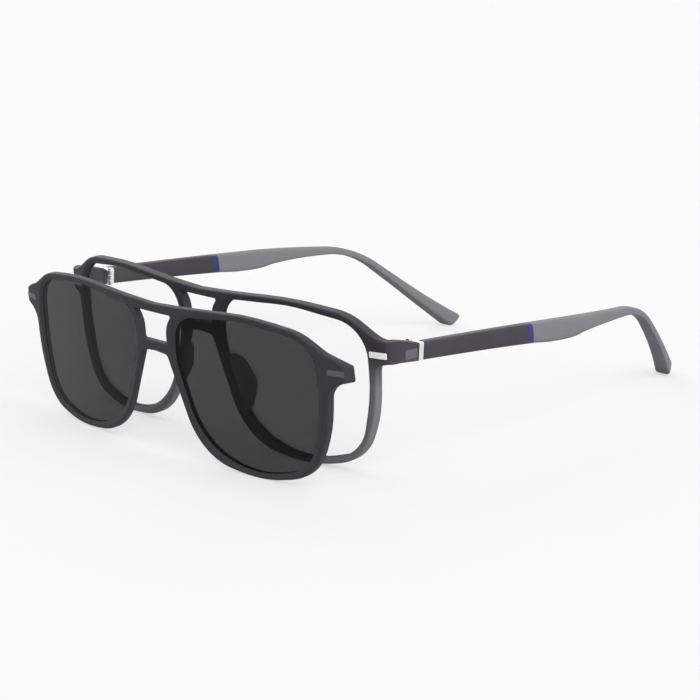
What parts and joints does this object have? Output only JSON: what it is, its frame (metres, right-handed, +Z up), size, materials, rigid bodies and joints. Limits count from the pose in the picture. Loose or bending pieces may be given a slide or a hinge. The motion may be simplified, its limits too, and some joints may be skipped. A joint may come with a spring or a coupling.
{
  "type": "eyeglasses",
  "caption": "Pilot-shaped spectacles with a double bridge, hinged temples with soft sleeves, and a magnetic tinted clip-on standing just in front.",
  "frame": {"origin": "On the table below the middle of the bridge, in the plane of the front's face at the middle.", "axes": "+X across the front to the wearer's left, +Y back along the temples, +Z up from the table"},
  "size_m": [0.1437, 0.1797, 0.0469],
  "materials": {
    "frame_plastic": "fine matt, slightly see-through dark grey",
    "clear_lens": "clear, polished",
    "tinted_lens": "dark grey tint, polished",
    "bright_inlay": "bright satin",
    "dark_inlay": "dark satin",
    "hinge_steel": "satin",
    "temple_plastic": "fine matt dark grey",
    "band_plastic": "blue-violet",
    "sleeve_rubber": "soft-touch light grey"
  },
  "bodies": {
    "front": {"front_frame": "frame_plastic", "clear_lens_left": "clear_lens", "clear_lens_right": "clear_lens", "magnet_bar_left": "bright_inlay", "magnet_bar_right": "bright_inlay", "front_hinge_left": "hinge_steel", "front_hinge_right": "hinge_steel", "hinge_screw_left": "hinge_steel", "hinge_screw_right": "hinge_steel"},
    "temple_left": {"temple_hinge_left": "hinge_steel", "temple_arm_left": "temple_plastic", "temple_band_left": "band_plastic", "temple_sleeve_left": "sleeve_rubber"},
    "temple_right": {"temple_hinge_right": "hinge_steel", "temple_arm_right": "temple_plastic", "temple_band_right": "band_plastic", "temple_sleeve_right": "sleeve_rubber"},
    "clip": {"clip_frame": "frame_plastic", "tinted_lens_left": "tinted_lens", "tinted_lens_right": "tinted_lens", "clip_magnet_left": "dark_inlay", "clip_magnet_right": "dark_inlay"}
  },
  "joints": [
    {"name": "fold_left", "type": "hinge", "parent": "front", "child": "temple_left", "pos_m": [0.065, 0.017, 0.035], "axis": [0, 0.0523, 0.9986], "range_deg": [0, 86]},
    {"name": "fold_right", "type": "hinge", "parent": "front", "child": "temple_right", "pos_m": [-0.065, 0.017, 0.035], "axis": [0, -0.0523, -0.9986], "range_deg": [0, 78]},
    {"name": "clip_on", "type": "slide", "parent": "front", "child": "clip", "axis": [-0.1818, 0.9827, 0.0355], "range_m": [0, 0.0176]}
  ]
}
